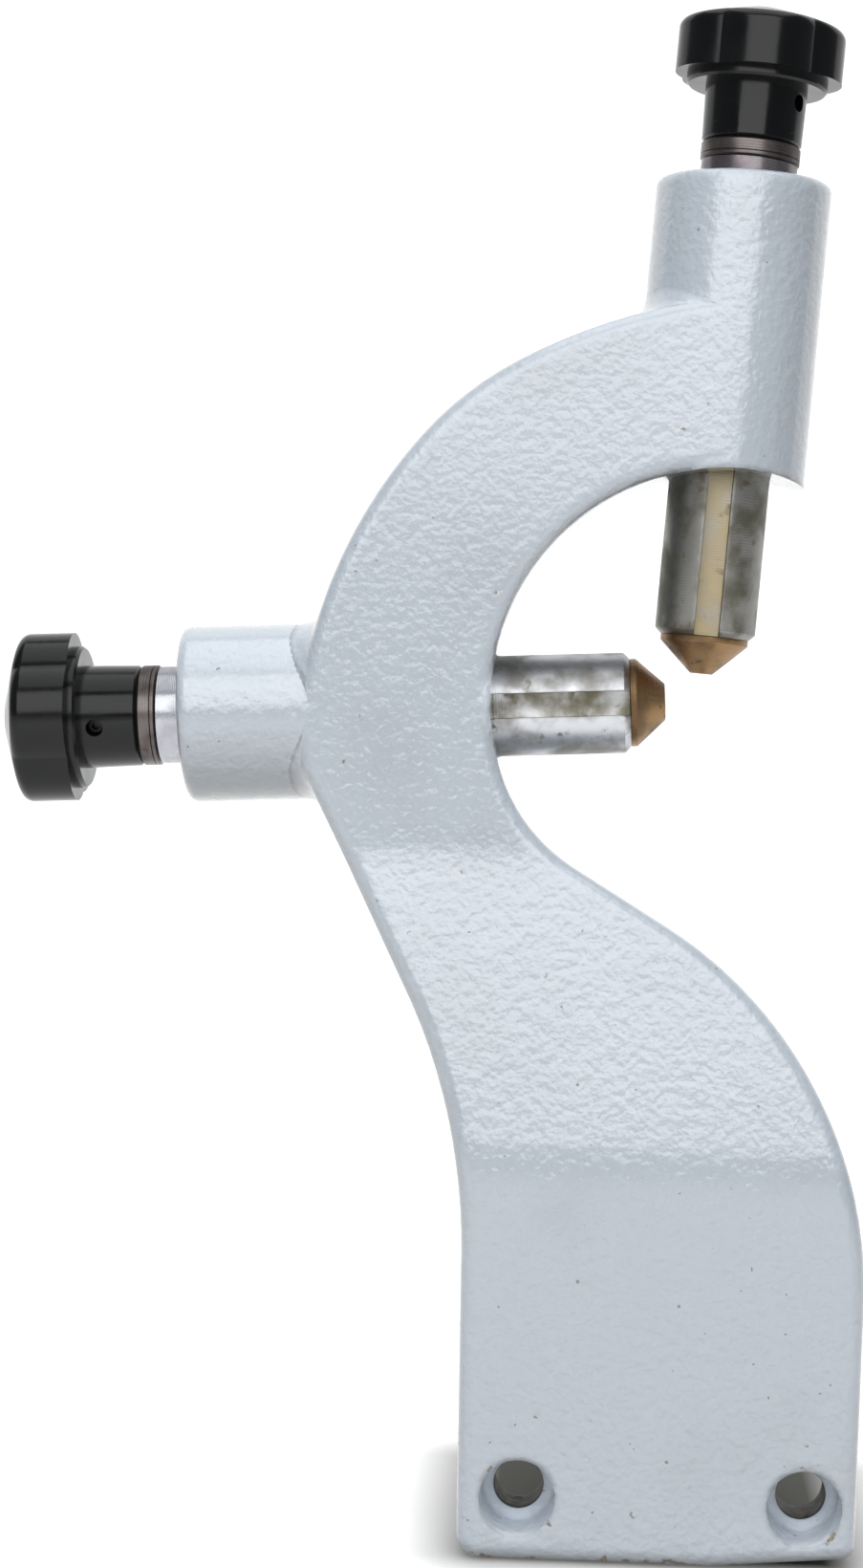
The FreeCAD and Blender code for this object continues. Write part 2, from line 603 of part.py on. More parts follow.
for jaw in JAWS:
    nose = dim(jaw + "_nose")

    # quill: round steel jaw, keyway along its front, nut bore from the back
    quill = new_body(jaw + "_quill_body")
    outer = dim("quill_size") * 0.5
    spigot = dim("spigot_size") * 0.5
    nut = dim("nut_size") * 0.5
    back = dim("quill_back")
    revolve(quill, jaw + "_quill_turn", [
        (spigot, nose), (dim("nose_size") * 0.5, nose), (outer, nose + dim("nose_run")),
        (outer, back - dim("back_chamfer")), (outer - dim("back_chamfer"), back), (nut, back),
        (nut, nose + dim("nut_start")), (0, nose + dim("nut_start")),
        (0, nose + dim("spigot_long")), (spigot, nose + dim("spigot_long")),
    ])
    doc.recompute()
    solid_before = quill.Shape.Volume
    way = new_sketch(quill, jaw + "_keyway_sketch", "XY_Plane")
    half_way = dim("keyway_width") * 0.5
    polygon(way, [
        (-half_way, -outer - 2), (half_way, -outer - 2),
        (half_way, -dim("keyway_floor")), (-half_way, -dim("keyway_floor")),
    ])
    keyway = quill.newObject("PartDesign::Pocket", jaw + "_keyway")
    lay_out(keyway, "Symmetric", way, back * 3.0)
    doc.recompute()
    if quill.Shape.Volume > solid_before - LEAST_CUT:
        raise RuntimeError("the keyway cut nothing")
    put_on_jaw(quill, jaw)
    sub_part(quill, jaw + "_quill")

    # bronze tip with a conical end, its spigot pressed into the quill
    tip = new_body(jaw + "_tip_body")
    shoulder = nose - dim("tip_land")
    flat = dim(jaw + "_flat") * 0.5
    revolve(tip, jaw + "_tip_turn", [
        (0, shoulder - dim(jaw + "_cone")), (flat, shoulder - dim(jaw + "_cone")),
        (dim("tip_size") * 0.5, shoulder), (dim("tip_size") * 0.5, nose), (spigot, nose),
        (spigot, nose + dim("spigot_long")), (0, nose + dim("spigot_long")),
    ])
    put_on_jaw(tip, jaw)
    sub_part(tip, jaw + "_tip")

    # key in the front wall of the bore, and the countersunk screw that holds it
    block = doc.addObject("Part::Box", jaw + "_key_block")
    block.setExpression("Length", "dims.key_width")
    block.setExpression("Width", "dims.key_outer - dims.key_inner")
    block.setExpression("Height", "dims.key_long")
    block.setExpression("Placement.Base.x", "0 - dims.key_width / 2")
    block.setExpression("Placement.Base.y", "0 - dims.key_outer")
    block.setExpression("Placement.Base.z", "dims.key_start")
    screw_body = new_body(jaw + "_key_screw_body")
    shank = dim("key_screw") * 0.5
    head = dim("key_head") * 0.5
    face = dim("key_inner") + dim("key_sink")
    revolve(screw_body, jaw + "_key_screw_turn", [
        (0, face), (head, face), (shank, face + dim("key_head_deep")),
        (shank, dim("key_outer") + dim("key_bury")), (0, dim("key_outer") + dim("key_bury")),
    ])
    sink = new_body(jaw + "_key_sink_body")
    revolve(sink, jaw + "_key_sink_turn", [
        (0, dim("key_inner") - 1), (head, dim("key_inner") - 1), (head, face),
        (shank, face + dim("key_head_deep")), (shank, dim("key_outer") + 1),
        (0, dim("key_outer") + 1),
    ])
    middle = dim("key_start") + dim("key_long") * 0.5
    outwards = FreeCAD.Rotation(FreeCAD.Vector(1, 0, 0), 90)
    for item in (screw_body, sink):
        item.Placement = FreeCAD.Placement(FreeCAD.Vector(0, 0, middle.number), outwards)
        item.setExpression("Placement.Base.z", middle.text)
    key = cut(jaw + "_key_cut", block, [sink])
    put_on_jaw(key, jaw)
    sub_part(key, jaw + "_key")
    drive = radial_pin(
        jaw + "_key_drive", dim("key_drive"), face - 1, face + dim("key_drive_deep"), middle,
        Size(90.0, "90"))
    key_screw = cut(jaw + "_key_screw_cut", screw_body, [drive])
    put_on_jaw(key_screw, jaw)
    sub_part(key_screw, jaw + "_key_screw")

    # feed screw: threaded shank, thrust shoulder, long journal
    feed = new_body(jaw + "_feed_body")
    thread = dim("feed_size") * 0.5
    journal = dim("journal_size") * 0.5
    start = dim("feed_start")
    stop = dim("journal_end")
    revolve(feed, jaw + "_feed_turn", [
        (0, start), (thread - dim("feed_chamfer"), start), (thread, start + dim("feed_chamfer")),
        (thread, dim("shoulder_start")), (dim("shoulder_size") * 0.5, dim("shoulder_start")),
        (dim("shoulder_size") * 0.5, dim("shoulder_end_u")), (journal, dim("shoulder_end_u")),
        (journal, stop - dim("journal_chamfer")), (journal - dim("journal_chamfer"), stop),
        (0, stop),
    ])
    turn = dim(jaw + "_grub_turn")
    grub_u = dim("collar_end") + dim("grub_run")
    grub_tip = journal - dim("dimple_deep")
    dimple = radial_pin(
        jaw + "_dimple", dim("grub_size"), grub_tip, journal + 2, grub_u, turn)
    feed_screw = cut(jaw + "_feed_cut", feed, [dimple])
    put_on_jaw(feed_screw, jaw)
    sub_part(feed_screw, jaw + "_feed_screw")

    # bronze thrust washer between the shoulder and the end wall
    washer = new_body(jaw + "_washer_body")
    washer_in = dim("washer_hole") * 0.5
    washer_out = dim("washer_size") * 0.5
    washer_face = dim("shoulder_end_u") + dim("thrust_gap")
    revolve(washer, jaw + "_washer_turn", [
        (washer_in, washer_face), (washer_out, washer_face), (washer_out, dim("bore_end")),
        (washer_in, dim("bore_end")),
    ])
    put_on_jaw(washer, jaw)
    sub_part(washer, jaw + "_thrust_washer")

    # bright steel bush: spigot in the end wall, flange outside
    bush = new_body(jaw + "_bush_body")
    bush_bore = journal + dim("journal_gap")
    bush_out = dim("bush_size") * 0.5
    wall = dim("wall_hole") * 0.5
    revolve(bush, jaw + "_bush_turn", [
        (bush_bore, dim("bore_end")), (wall, dim("bore_end")), (wall, dim("bush_seat")),
        (bush_out - dim("bush_chamfer"), dim("bush_seat")),
        (bush_out, dim("bush_seat") + dim("bush_chamfer")), (bush_out, dim("bush_face")),
        (bush_bore, dim("bush_face")),
    ])
    put_on_jaw(bush, jaw)
    sub_part(bush, jaw + "_end_bush")

    # darker steel collar on the journal, chamfered on both sides
    collar = new_body(jaw + "_collar_body")
    collar_out = dim("collar_size") * 0.5
    collar_start = dim("bush_face") + dim("collar_gap")
    bevel = dim("collar_chamfer")
    revolve(collar, jaw + "_collar_turn", [
        (journal, collar_start), (collar_out - bevel, collar_start),
        (collar_out, collar_start + bevel), (collar_out, dim("collar_end") - bevel),
        (collar_out - bevel, dim("collar_end")), (journal, dim("collar_end")),
    ])
    put_on_jaw(collar, jaw)
    sub_part(collar, jaw + "_collar")

    # knob: round neck and flange under a head of broad lobes with a low crown
    stem = new_body(jaw + "_stem_body")
    neck = dim("neck_size") * 0.5
    flange = dim("flange_size") * 0.5
    flange_chamfer = dim("flange_chamfer")
    lobe = dim("lobe_size") * 0.5
    core = dim("insert_size") * 0.5
    revolve(stem, jaw + "_stem_turn", [
        (0, dim("collar_end")), (neck - bevel, dim("collar_end")),
        (neck, dim("collar_end") + bevel), (neck + dim("neck_swell"), dim("neck_end")),
        (flange - flange_chamfer, dim("neck_end")), (flange, dim("neck_end") + flange_chamfer),
        (flange, dim("flange_end")), (0, dim("flange_end")),
    ])
    # head: round lobes, joined by blended flutes, under a low dome with a rounded rim
    head = new_body(jaw + "_head_body")
    lobe_sketch = new_sketch(head, jaw + "_lobe_sketch", "XY_Plane")
    lobe_out = lobe - dim("lobe_round")
    lobe_circle = Part.Circle(
        FreeCAD.Vector(lobe_out.number, 0, 0), Z_AXIS, dim("lobe_round").number)
    lobe_sketch.addGeometry(lobe_circle, False)
    bind(lobe_sketch, "Radius", dim("lobe_round"), 0)
    place_point(lobe_sketch, 0, CENTRE, lobe_out, size(0))
    knob_turn = dim(jaw + "_knob_turn")
    lobe_sketch.AttachmentOffset = FreeCAD.Placement(
        FreeCAD.Vector(0, 0, dim("flange_end").number), FreeCAD.Rotation(Z_AXIS, knob_turn.number))
    lobe_sketch.setExpression("AttachmentOffset.Base.z", "dims.flange_end")
    lobe_sketch.setExpression("AttachmentOffset.Rotation.Angle", knob_turn.text)
    lobe_pad = head.newObject("PartDesign::Pad", jaw + "_lobe")
    lay_out(lobe_pad, "One side", lobe_sketch, dim("crown_top") - dim("flange_end"))
    doc.recompute()
    lobes = head.newObject("PartDesign::PolarPattern", jaw + "_lobes")
    lobes.Originals = [lobe_pad]
    lobes.Axis = (plane(head, "Z_Axis"), [""])
    lobes.Angle = 360
    lobes.setExpression("Occurrences", "dims.lobe_count")
    head.Tip = lobes
    doc.recompute()

    def is_upright(edge):
        x1, x2, y1, y2, z1, z2 = span(edge)
        return x2 - x1 < 0.01 and y2 - y1 < 0.01 and z2 - z1 > 5

    def meets_wall_twice(edge):
        faces = lobes.Shape.ancestorsOfType(edge, Part.Face)
        return len(set(round(face.CenterOfMass.x, 3) for face in faces)) == 2

    flutes = head.newObject("PartDesign::Fillet", jaw + "_flutes")
    flute_edges = edges_where(
        lobes.Shape, lambda edge: is_upright(edge) and meets_wall_twice(edge)
        and is_hollow(lobes.Shape, edge))
    flutes.Base = (lobes, ["Edge%d" % i for i in flute_edges])
    flutes.setExpression("Radius", "dims.flute_blend")
    head.Tip = flutes
    doc.recompute()
    solid_before = head.Shape.Volume
    dome_sketch = new_sketch(head, jaw + "_dome_sketch", "XZ_Plane")
    beyond = lobe + dim("rim_round")
    drop = (dim("crown_top") - dim("lobe_end"))
    polygon(dome_sketch, [
        (dim("crown_flat") * 0.5, dim("crown_top")), (beyond, dim("lobe_end") - drop * 0.2),
        (beyond, dim("crown_top") + drop), (dim("crown_flat") * 0.5, dim("crown_top") + drop),
    ])
    dome = head.newObject("PartDesign::Groove", jaw + "_dome")
    dome.Profile = dome_sketch
    dome.ReferenceAxis = (dome_sketch, ["V_Axis"])
    dome.Angle = 360
    head.Tip = dome
    doc.recompute()
    if head.Shape.Volume > solid_before - LEAST_CUT:
        raise RuntimeError("the dome cut nothing")

    def is_rim(edge):
        faces = dome.Shape.ancestorsOfType(edge, Part.Face)
        kinds = sorted(type(face.Surface).__name__ for face in faces)
        return kinds == ["Cone", "Cylinder"]

    rounded = head.newObject("PartDesign::Fillet", jaw + "_rim")
    rounded.Base = (dome, ["Edge%d" % i for i in edges_where(dome.Shape, is_rim)])
    rounded.setExpression("Radius", "dims.rim_round")
    head.Tip = rounded
    doc.recompute()
    blank = doc.addObject("Part::MultiFuse", jaw + "_knob_blank")
    blank.Shapes = [stem, head]
    well = doc.addObject("Part::Cylinder", jaw + "_insert_well")
    well.setExpression("Radius", "dims.insert_size / 2")
    well.setExpression("Height", "dims.insert_end - dims.collar_end")
    well.setExpression("Placement.Base.z", "dims.collar_end")
    clear = radial_pin(
        jaw + "_grub_way", dim("grub_size") + dim("grub_clear"), core - 1, neck + 3, grub_u, turn)
    knob_cut = cut(jaw + "_knob_cut", blank, [well, clear])
    put_on_jaw(knob_cut, jaw)
    sub_part(knob_cut, jaw + "_knob")

    # steel insert moulded into the knob
    insert = new_body(jaw + "_insert_body")
    revolve(insert, jaw + "_insert_turn", [
        (journal, dim("collar_end")), (core, dim("collar_end")), (core, dim("insert_end")),
        (0, dim("insert_end")), (0, stop), (journal, stop),
    ])
    tapped = radial_pin(jaw + "_tapped", dim("grub_size"), grub_tip, core + 1, grub_u, turn)
    insert_cut = cut(jaw + "_insert_cut", insert, [tapped])
    put_on_jaw(insert_cut, jaw)
    sub_part(insert_cut, jaw + "_insert")

    # grub screw across the neck, its socket outwards
    grub_end = neck - dim("grub_sink")
    grub = radial_pin(jaw + "_grub", dim("grub_size"), grub_tip, grub_end, grub_u, turn)
    socket = radial_pin(
        jaw + "_grub_socket", dim("grub_drive"), grub_end - dim("grub_drive_deep"),
        grub_end + 1, grub_u, turn)
    grub_cut = cut(jaw + "_grub_cut", grub, [socket])
    put_on_jaw(grub_cut, jaw)
    sub_part(grub_cut, jaw + "_grub_screw")

doc.recompute()
for item in doc.Objects:
    if "Invalid" in item.State or "Error" in item.State:
        raise RuntimeError("%s failed: %s" % (item.Name, item.State))
os.makedirs("parts", exist_ok=True)
for item in SUBPARTS:
    shape = item.Shape
    if shape.isNull() or not shape.isValid() or len(shape.Solids) != 1:
        raise RuntimeError("%s is not one valid solid" % item.Label)
    shape.exportStep("parts/%s.step" % item.Label)
    box = shape.BoundBox
    print("%-20s %9.0f mm3  x %.1f %.1f  y %.1f %.1f  z %.1f %.1f" % (
        item.Label, shape.Volume, box.XMin, box.XMax, box.YMin, box.YMax, box.ZMin, box.ZMax))
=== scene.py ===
import math

import bmesh
import bpy
from mathutils import Matrix, Vector


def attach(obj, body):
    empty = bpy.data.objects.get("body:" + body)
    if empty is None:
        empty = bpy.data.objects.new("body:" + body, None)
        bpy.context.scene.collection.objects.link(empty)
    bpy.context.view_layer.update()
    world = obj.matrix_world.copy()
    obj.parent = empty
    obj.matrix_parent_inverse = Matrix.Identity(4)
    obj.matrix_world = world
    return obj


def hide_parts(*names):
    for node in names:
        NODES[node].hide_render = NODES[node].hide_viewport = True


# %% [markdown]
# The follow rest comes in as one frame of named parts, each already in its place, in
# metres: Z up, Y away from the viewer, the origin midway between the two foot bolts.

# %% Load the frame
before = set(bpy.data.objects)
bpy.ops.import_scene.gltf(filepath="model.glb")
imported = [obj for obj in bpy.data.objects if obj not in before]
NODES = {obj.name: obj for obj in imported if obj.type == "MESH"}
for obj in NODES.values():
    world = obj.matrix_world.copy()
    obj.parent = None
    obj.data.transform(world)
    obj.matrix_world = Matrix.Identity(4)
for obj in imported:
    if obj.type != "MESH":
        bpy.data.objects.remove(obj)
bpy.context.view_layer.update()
JAWS = ("rear", "top")
MM = 0.001
print("parts in the frame:", len(NODES))

# %% [markdown]
# Both jaws point at the work spindle. A jaw's own axis runs outwards from that spindle,
# so a piece that belongs on it is first made upright at the world's origin, with its
# height as the distance along the jaw, and is then laid on the axis in one turn. The
# pieces of the lower jaw sit 0.6 mm nearer the spindle, which the shift allows for.

# %% The two jaw axes
WORK = Vector((2.5, 11.5, 190.0)) * MM
JAW_TURN = {"rear": math.radians(-93.8), "top": math.radians(3.15)}
JAW_SHIFT = {"rear": -0.6 * MM, "top": 0.0}


def jaw_matrix(jaw):
    turned = Matrix.Rotation(JAW_TURN[jaw], 4, "Y")
    shifted = Matrix.Translation((0, 0, JAW_SHIFT[jaw]))
    return Matrix.Translation(WORK) @ turned @ shifted


for jaw in JAWS:
    outwards = jaw_matrix(jaw).to_3x3() @ Vector((0, 0, 1))
    print(jaw, "jaw points along", [round(v, 3) for v in outwards])

# %% [markdown]
# The photograph was taken level with the lower jaw, square to the front of the casting,
# with the frame rolled a little. The camera is written down as a place, a roll and a
# lens, and its frame is shifted in place of tilting the camera, so that upright edges
# stay parallel.

# %% Camera
PHOTO_WIDE, PHOTO_HIGH = 903.0, 1640.0
FOCAL_PX = 2941.0
CENTRE_PX = (632.0, 730.0)
ROLL = math.radians(2.3)
CAMERA_PLACE = (-0.0210, -0.6885, 0.1898)
SENSOR = 36.0

camera = bpy.data.objects.new("camera", bpy.data.cameras.new("camera"))
bpy.context.scene.collection.objects.link(camera)
right = Vector((math.cos(ROLL), 0, math.sin(ROLL)))
up = Vector((-math.sin(ROLL), 0, math.cos(ROLL)))
back = Vector((0, -1, 0))
camera.matrix_world = Matrix.Translation(CAMERA_PLACE) @ Matrix(
    (right, up, back)).transposed().to_4x4()
camera.data.sensor_fit = "VERTICAL"
camera.data.sensor_height = SENSOR
camera.data.sensor_width = SENSOR
camera.data.lens = FOCAL_PX / PHOTO_HIGH * SENSOR
camera.data.shift_x = (PHOTO_WIDE / 2 - CENTRE_PX[0]) / PHOTO_HIGH
camera.data.shift_y = (CENTRE_PX[1] - PHOTO_HIGH / 2) / PHOTO_HIGH
camera.data.clip_start = 0.01
bpy.context.scene.camera = camera
print("lens", round(camera.data.lens, 2),
      "shift", round(camera.data.shift_x, 4), round(camera.data.shift_y, 4))

# %% [markdown]
# Every material here starts from the same Principled shader. A small helper makes the
# node tree and hands back the pieces that each finish joins up: the shader, and the
# Object coordinates in metres, which stay with the part when it moves.

# %% Start a material


def new_material(name, rough=0.4, metallic=0.0):
    material = bpy.data.materials.new(name)
    material.use_nodes = True
    nodes = material.node_tree.nodes
    shader = nodes["Principled BSDF"]
    shader.inputs["Roughness"].default_value = rough
    shader.inputs["Metallic"].default_value = metallic
    place = nodes.new("ShaderNodeTexCoord")
    return material, shader, place.outputs["Object"]


def put(tree, kind, **settings):
    node = tree.nodes.new("ShaderNode" + kind)
    for key, value in settings.items():
        if hasattr(node, key):
            setattr(node, key, value)
        else:
            node.inputs[key].default_value = value
    return node


def link(tree, source, target):
    tree.links.new(source, target)


# %% [markdown]
# Noise is the start of nearly every surface: paint that pulled into small lumps, stains
# on steel, dust. One node group turns Object coordinates into a mask with soft or hard
# edges, so that each finish only says how large the pattern is and how much it covers.

# %% A group for patchy masks


def make_group(name, inputs, outputs):
    tree = bpy.data.node_groups.new(name, "ShaderNodeTree")
    for label, kind, value in inputs:
        socket = tree.interface.new_socket(
            label, in_out="INPUT", socket_type="NodeSocket" + kind)
        if value is not None:
            socket.default_value = value
    for label, kind in outputs:
        tree.interface.new_socket(label, in_out="OUTPUT", socket_type="NodeSocket" + kind)
    start = tree.nodes.new("NodeGroupInput")
    end = tree.nodes.new("NodeGroupOutput")
    return tree, start, end


patches, start, end = make_group(
    "patches",
    [("Vector", "Vector", None), ("Scale", "Float", 100.0), ("Detail", "Float", 3.0),
     ("From", "Float", 0.45), ("To", "Float", 0.6)],
    [("Mask", "Float"), ("Raw", "Float")])
noise = put(patches, "TexNoise", noise_dimensions="3D")
ramp = put(patches, "MapRange", interpolation_type="SMOOTHSTEP")
link(patches, start.outputs["Vector"], noise.inputs["Vector"])
link(patches, start.outputs["Scale"], noise.inputs["Scale"])
link(patches, start.outputs["Detail"], noise.inputs["Detail"])
link(patches, noise.outputs["Fac"], ramp.inputs["Value"])
link(patches, start.outputs["From"], ramp.inputs["From Min"])
link(patches, start.outputs["To"], ramp.inputs["From Max"])
link(patches, ramp.outputs["Result"], end.inputs["Mask"])
link(patches, noise.outputs["Fac"], end.inputs["Raw"])


def patch(tree, place, scale, low, high, detail=3.0):
    node = tree.nodes.new("ShaderNodeGroup")
    node.node_tree = patches
    link(tree, place, node.inputs["Vector"])
    node.inputs["Scale"].default_value = scale
    node.inputs["Detail"].default_value = detail
    node.inputs["From"].default_value = low
    node.inputs["To"].default_value = high
    return node.outputs["Mask"], node.outputs["Raw"]


def mix_colour(tree, mask, one, other):
    node = tree.nodes.new("ShaderNodeMix")
    node.data_type = "RGBA"
    for socket, value in ((node.inputs[6], one), (node.inputs[7], other)):
        if isinstance(value, (tuple, list)):
            socket.default_value = (*value, 1.0)
        else:
            link(tree, value, socket)
    link(tree, mask, node.inputs[0])
    return node.outputs[2]


def maths(tree, operation, one, other=None, clamp=False):
    node = tree.nodes.new("ShaderNodeMath")
    node.operation = operation
    node.use_clamp = clamp
    for socket, value in zip(node.inputs, (one, other)):
        if value is None:
            continue
        if isinstance(value, (int, float)):
            socket.default_value = value
        else:
            link(tree, value, socket)
    return node.outputs[0]


def span_of(tree, value, low, high, out_low=0.0, out_high=1.0):
    node = put(tree, "MapRange")
    link(tree, value, node.inputs["Value"])
    node.inputs["From Min"].default_value = low
    node.inputs["From Max"].default_value = high
    node.inputs["To Min"].default_value = out_low
    node.inputs["To Max"].default_value = out_high
    return node.outputs["Result"]


def bump(tree, shader, height, distance, strength=1.0, under=None):
    node = tree.nodes.new("ShaderNodeBump")
    node.inputs["Distance"].default_value = distance
    node.inputs["Strength"].default_value = strength
    link(tree, height, node.inputs["Height"])
    if under is not None:
        link(tree, under, node.inputs["Normal"])
    link(tree, node.outputs["Normal"], shader.inputs["Normal"])
    return node.outputs["Normal"]


# %% [markdown]
# Turned parts keep the marks of the tool as fine rings round their axis. A Mapping node
# lays the jaw's axis along Z, the distance along it is read with Separate XYZ, and a
# fast sine of it gives the rings. Noise breaks them up.

# %% Read positions in a jaw's own frame


def jaw_place(tree, place, jaw):
    turned = jaw_matrix(jaw).inverted()
    node = tree.nodes.new("ShaderNodeMapping")
    node.vector_type = "POINT"
    node.inputs["Location"].default_value = turned.to_translation()
    node.inputs["Rotation"].default_value = turned.to_euler("XYZ")
    link(tree, place, node.inputs["Vector"])
    return node.outputs["Vector"]


def parts_of(tree, vector):
    node = tree.nodes.new("ShaderNodeSeparateXYZ")
    link(tree, vector, node.inputs[0])
    return node.outputs


def distance_from_axis(tree, vector):
    split = parts_of(tree, vector)
    squares = [maths(tree, "MULTIPLY", split[i], split[i]) for i in (0, 1)]
    return maths(tree, "SQRT", maths(tree, "ADD", squares[0], squares[1]))


# %% [markdown]
# The casting is grey iron under a thick coat of off-white enamel. The enamel was sprayed
# on heavily and pulled into small lumps, like orange peel, that catch the light. Noise
# of two sizes gives the lumps, slow noise a faint grey shade, and the highest spots of a
# third noise the few pin holes.

# %% The coat of enamel
PAINT = (0.630, 0.700, 0.780)
PAINT_DULL = (0.590, 0.652, 0.722)
PIN_HOLE = (0.30, 0.29, 0.27)


def enamel(tree, place):
    _, fine = patch(tree, place, 780.0, 0.4, 0.6, 2.0)
    _, coarse = patch(tree, place, 380.0, 0.4, 0.6, 1.5)
    dirt, _ = patch(tree, place, 28.0, 0.48, 0.75, 5.0)
    colour = mix_colour(tree, dirt, PAINT, PAINT_DULL)
    pits, _ = patch(tree, place, 480.0, 0.775, 0.80, 1.0)
    return mix_colour(tree, pits, colour, PIN_HOLE), fine, coarse, pits


# %% [markdown]
# Round the bolt holes and along the bottom edge the coat is chipped through to brown
# primer and iron. The distance from the middle line of a bolt hole and the height on
# the foot say how worn a place is, and noise is added, so that the chips get ragged.

# %% Chips in the coat
BOLT_X = 0.034
PRIMER = ((0.24, 0.20, 0.155), (0.38, 0.30, 0.20))


def ring_from(tree, split, x):
    # how far a point is from the middle line of the bolt hole at this x
    across = maths(tree, "SUBTRACT", split[0], x)
    squares = [maths(tree, "MULTIPLY", value, value) for value in (across, split[2])]
    return maths(tree, "SQRT", maths(tree, "ADD", *squares))


def chips_in(tree, place, split, near):
    _, ragged = patch(tree, place, 260.0, 0.4, 0.6, 4.0)
    rim = span_of(tree, near, 0.0112, 0.0095)
    low = span_of(tree, split[2], -0.0122, -0.0156)
    worn = maths(tree, "MAXIMUM", maths(tree, "MULTIPLY", rim, 0.08),
                 maths(tree, "MULTIPLY", low, 0.34))
    return span_of(tree, maths(tree, "ADD", worn, ragged), 0.755, 0.775)


# %% [markdown]
# No paint stays where the casting was machined: in the jaw bores, in the bolt holes and
# on the mounting face, which lies at y = 0 on the foot. A plain measure finds each of
# these places, such as the distance from a jaw's axis.

# %% Machined places
FACE_SKIN = 0.00008
FACE_TOP = 0.0615
BORE_SEEN = 0.01262
BORE_START = 0.02
HOLE_SEEN = 0.00606
BARE_IRON = ((0.17, 0.165, 0.155), (0.09, 0.08, 0.06))
HOLE_PAINTED_SHADE = (0.050, 0.046, 0.034)


def machined(tree, place, split):
    from_face = maths(tree, "ABSOLUTE", split[1])
    bare = maths(tree, "MULTIPLY", maths(tree, "LESS_THAN", from_face, FACE_SKIN),
                 maths(tree, "LESS_THAN", split[2], FACE_TOP))
    for jaw in JAWS:
        local = jaw_place(tree, place, jaw)
        bored = maths(tree, "LESS_THAN", distance_from_axis(tree, local), BORE_SEEN)
        outwards = maths(tree, "GREATER_THAN", parts_of(tree, local)[2], BORE_START)
        bare = maths(tree, "MAXIMUM", bare, maths(tree, "MULTIPLY", bored, outwards))
    return bare


# %% [markdown]
# The layers come together in order: coat, chips and bare iron as on the real casting,
# then a painted shade on the walls of the bolt holes. Chips, bare iron and holes are
# rougher, and the last two have no clear coat. Thick enamel never shows a sharp corner,
# so a Bevel node rounds the normal before the lumps are added to it.

# %% Painted casting


def painted_iron():
    material, shader, place = new_material("paint_enamel", 0.26)
    tree = material.node_tree
    split = parts_of(tree, place)
    near = maths(tree, "MINIMUM", *[ring_from(tree, split, x) for x in (-BOLT_X, BOLT_X)])
    colour, fine, coarse, pits = enamel(tree, place)
    chips = chips_in(tree, place, split, near)
    rust, _ = patch(tree, place, 500.0, 0.45, 0.58, 3.0)
    colour = mix_colour(tree, chips, colour, mix_colour(tree, rust, *PRIMER))
    bare = machined(tree, place, split)
    hole = maths(tree, "LESS_THAN", near, HOLE_SEEN)
    stain, _ = patch(tree, place, 90.0, 0.42, 0.62, 5.0)
    colour = mix_colour(tree, bare, colour, mix_colour(tree, stain, *BARE_IRON))
    # painted shade: the walls of the bolt holes are coloured near black, darker than bare iron
    colour = mix_colour(tree, hole, colour, HOLE_PAINTED_SHADE)
    link(tree, colour, shader.inputs["Base Color"])
    link(tree, maths(tree, "MULTIPLY", bare, 0.85), shader.inputs["Metallic"])
    rough = span_of(tree, coarse, 0.3, 0.7, 0.15, 0.27)
    rough = maths(tree, "ADD", rough, maths(tree, "MULTIPLY", chips, 0.45))
    rough = maths(tree, "ADD", rough, maths(tree, "MULTIPLY", bare, 0.2))
    rough = maths(tree, "ADD", rough, maths(tree, "MULTIPLY", hole, 0.5), clamp=True)
    coated = span_of(tree, maths(tree, "MAXIMUM", bare, hole), 0.0, 1.0, 1.0, 0.0)
    link(tree, coated, shader.inputs["Coat Weight"])
    link(tree, rough, shader.inputs["Roughness"])
    lumps = maths(tree, "ADD", maths(tree, "MULTIPLY", fine, 0.45), coarse)
    lumps = maths(tree, "MULTIPLY", lumps, span_of(tree, bare, 0.0, 1.0, 1.0, 0.2))
    lumps = maths(tree, "SUBTRACT", lumps, maths(tree, "MULTIPLY", chips, 0.5))
    lumps = maths(tree, "SUBTRACT", lumps, maths(tree, "MULTIPLY", pits, 0.6))
    softened = put(tree, "Bevel", samples=6, Radius=0.003)
    bump(tree, shader, lumps, 0.0008, 0.5, softened.outputs["Normal"])
    shader.inputs["Specular IOR Level"].default_value = 0.8
    shader.inputs["Coat Roughness"].default_value = 0.16
    return material


# %% [markdown]
# The jaws are ground steel, greyed by oil and handling, with brown stains where rust has
# started. The grinding runs round the quill, and the long keyway was cut along it.

# %% Steel, bronze and resin


